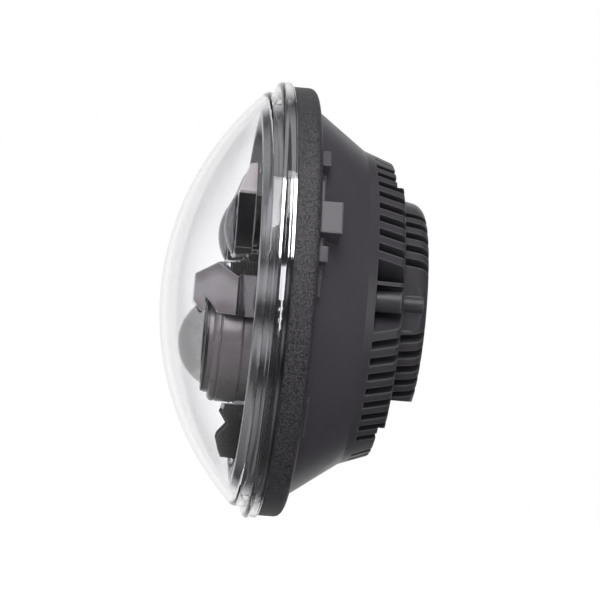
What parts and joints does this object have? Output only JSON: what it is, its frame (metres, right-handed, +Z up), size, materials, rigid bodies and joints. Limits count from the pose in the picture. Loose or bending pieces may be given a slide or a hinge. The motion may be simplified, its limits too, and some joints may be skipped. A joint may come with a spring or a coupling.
{
  "type": "led headlight",
  "caption": "Round projector headlamp with a clear domed lens, a black die-cast finned body and chromed inner optics.",
  "frame": {"origin": "on the optical axis, inside the turned land of the rim band", "axes": "+Z up; +X along the optical axis towards the fins, so the light leaves towards -X"},
  "size_m": [0.1053, 0.178, 0.1781],
  "materials": {
    "cast_black": "satin",
    "clear_dome": "gloss",
    "sealant_black": "matte",
    "trim_chrome": "polished",
    "bezel_black": "gloss",
    "hood_chrome": "polished",
    "barrel_taupe": "satin",
    "lens_glass": "gloss",
    "clip_black": "satin",
    "bowl_bright": "polished",
    "board_white": "matte",
    "pod_smoke": "gloss",
    "pod_glass": "gloss",
    "cup_violet": "gloss",
    "visor_black": "satin",
    "spreader_alu": "satin",
    "board_green": "satin",
    "screw_zinc": "satin",
    "fitting_black": "matte"
  },
  "bodies": {
    "root": {"housing": "cast_black", "outer_lens": "clear_dome", "lens_sealant": "sealant_black", "bezel_ring": "trim_chrome", "inner_bezel": "bezel_black", "centre_hood": "hood_chrome", "main_barrel": "barrel_taupe", "main_lens": "lens_glass", "main_lens_clip": "clip_black", "main_reflector": "bowl_bright", "main_led_board": "board_white", "left_pod": "pod_smoke", "right_pod": "pod_smoke", "left_pod_lens": "pod_glass", "right_pod_lens": "pod_glass", "left_pod_board": "board_white", "right_pod_board": "board_white", "left_reflector": "bowl_bright", "right_reflector": "bowl_bright", "left_side_board": "board_white", "right_side_board": "board_white", "top_reflector": "cup_violet", "lower_reflector": "visor_black", "heat_spreader": "spreader_alu", "driver_board": "board_green", "bezel_screws": "screw_zinc", "spreader_screws": "screw_zinc", "driver_screws": "screw_zinc", "breather_vent": "fitting_black", "cable_gland": "fitting_black", "gland_nut": "fitting_black"}
  },
  "joints": []
}
